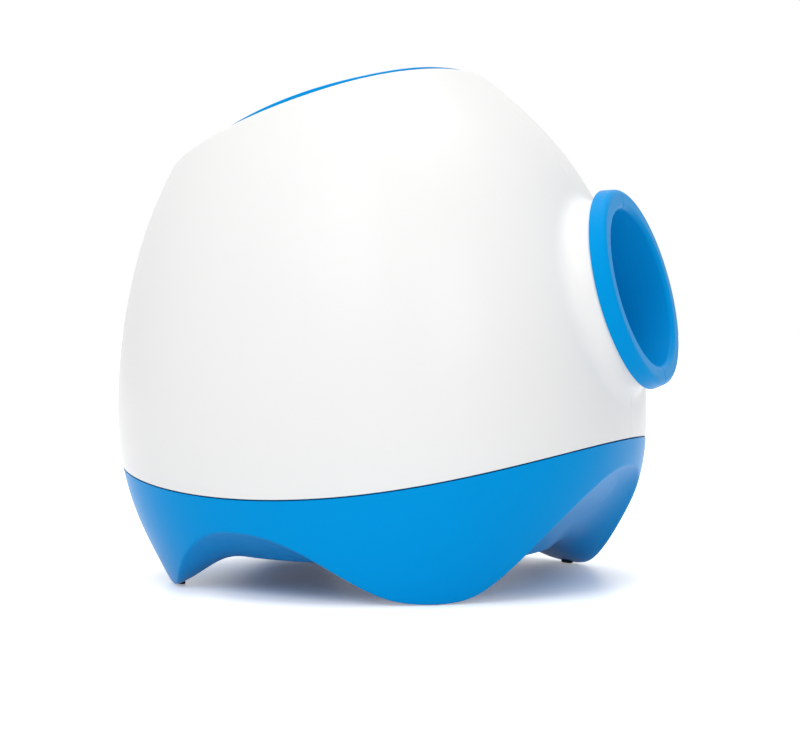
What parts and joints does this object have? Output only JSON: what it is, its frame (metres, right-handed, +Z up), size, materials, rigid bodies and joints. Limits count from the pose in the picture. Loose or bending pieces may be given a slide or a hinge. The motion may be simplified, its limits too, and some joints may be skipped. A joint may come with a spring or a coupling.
{
  "type": "automatic dog ball launcher",
  "caption": "Egg-shaped ball launcher with an angled round mouth, a funnel hopper on top, throwing wheels inside and a wave-edged base.",
  "frame": {"origin": "on the floor, under the middle of the overall box", "axes": "+X the way the ball flies, +Y the launcher's left, +Z up"},
  "size_m": [0.3262, 0.284, 0.2963],
  "materials": {
    "white_gloss": "polished",
    "blue_gloss": "polished",
    "dark_plastic": "moulded",
    "button_plastic": "satin",
    "clear_plastic": "clear",
    "pad_rubber": "matt",
    "tyre_rubber": "matt",
    "steel": "plain",
    "motor_steel": "zinc plated",
    "brass": "plain",
    "gear_plastic": "moulded",
    "board_green": "lacquered",
    "component_black": "moulded",
    "battery_wrap": "shrink wrapped",
    "lead_rubber": "matt"
  },
  "bodies": {
    "housing": {"shell_left": "white_gloss", "shell_right": "white_gloss", "shell_screws": "steel", "base_shell": "blue_gloss", "foot_pads": "pad_rubber", "hopper": "blue_gloss", "feed_chute": "blue_gloss", "chute_screws": "steel", "barrel_left": "blue_gloss", "barrel_right": "blue_gloss", "barrel_screws": "steel", "launch_deck": "dark_plastic", "deck_screws": "steel", "wheel_motor_left": "motor_steel", "wheel_motor_right": "motor_steel", "motor_screws": "steel", "gate_bushes": "brass", "gate_bracket": "dark_plastic", "gate_screws": "steel", "gate_motor": "motor_steel", "ball_emitter": "component_black", "ball_receiver": "component_black", "battery_pack": "battery_wrap", "battery_strap": "dark_plastic", "strap_screws": "steel", "battery_door": "blue_gloss", "door_screws": "steel", "main_board": "board_green", "board_components": "component_black", "main_board_screws": "steel", "control_panel": "dark_plastic", "light_pipes": "clear_plastic", "charge_inlet": "component_black", "control_board": "board_green", "control_board_screws": "steel", "tact_switches": "component_black", "motor_leads": "lead_rubber", "panel_lead": "lead_rubber", "battery_lead": "lead_rubber"},
    "wheel_left": {"wheel_hub_left": "dark_plastic", "wheel_tyre_left": "tyre_rubber", "wheel_shaft_left": "steel"},
    "wheel_right": {"wheel_hub_right": "dark_plastic", "wheel_tyre_right": "tyre_rubber", "wheel_shaft_right": "steel"},
    "gate": {"gate_paddle": "dark_plastic", "gate_pin": "steel", "gate_gear": "gear_plastic"},
    "gate_pinion": {"gate_pinion": "gear_plastic"},
    "power_button": {"power_button": "button_plastic"},
    "distance_button": {"distance_button": "button_plastic"}
  },
  "joints": [
    {"name": "wheel_left_spin", "type": "hinge", "parent": "housing", "child": "wheel_left", "pos_m": [0.0238, 0.063, 0.1368], "axis": [-0.2462, 0, 0.9692], "continuous": true},
    {"name": "wheel_right_spin", "type": "hinge", "parent": "housing", "child": "wheel_right", "pos_m": [0.0238, -0.063, 0.1368], "axis": [0.2462, 0, -0.9692], "continuous": true},
    {"name": "gate_swing", "type": "hinge", "parent": "housing", "child": "gate", "pos_m": [-0.01297, 0, 0.17595], "axis": [0, -1, 0], "range_deg": [0, 80]},
    {"name": "gate_pinion_spin", "type": "hinge", "parent": "housing", "child": "gate_pinion", "pos_m": [0.01029, 0, 0.18186], "axis": [0, -1, 0], "range_deg": [-163.3, 1.1]},
    {"name": "power_button_press", "type": "slide", "parent": "housing", "child": "power_button", "axis": [1, 0, 0], "range_m": [0, 0.0015], "stiffness_N_per_m": 300, "springref_m": -0.001},
    {"name": "distance_button_press", "type": "slide", "parent": "housing", "child": "distance_button", "axis": [1, 0, 0], "range_m": [0, 0.0015], "stiffness_N_per_m": 300, "springref_m": -0.001}
  ],
  "couplings": [
    {"joint": "gate_pinion_spin", "follows": "gate_swing", "ratio": -2}
  ]
}
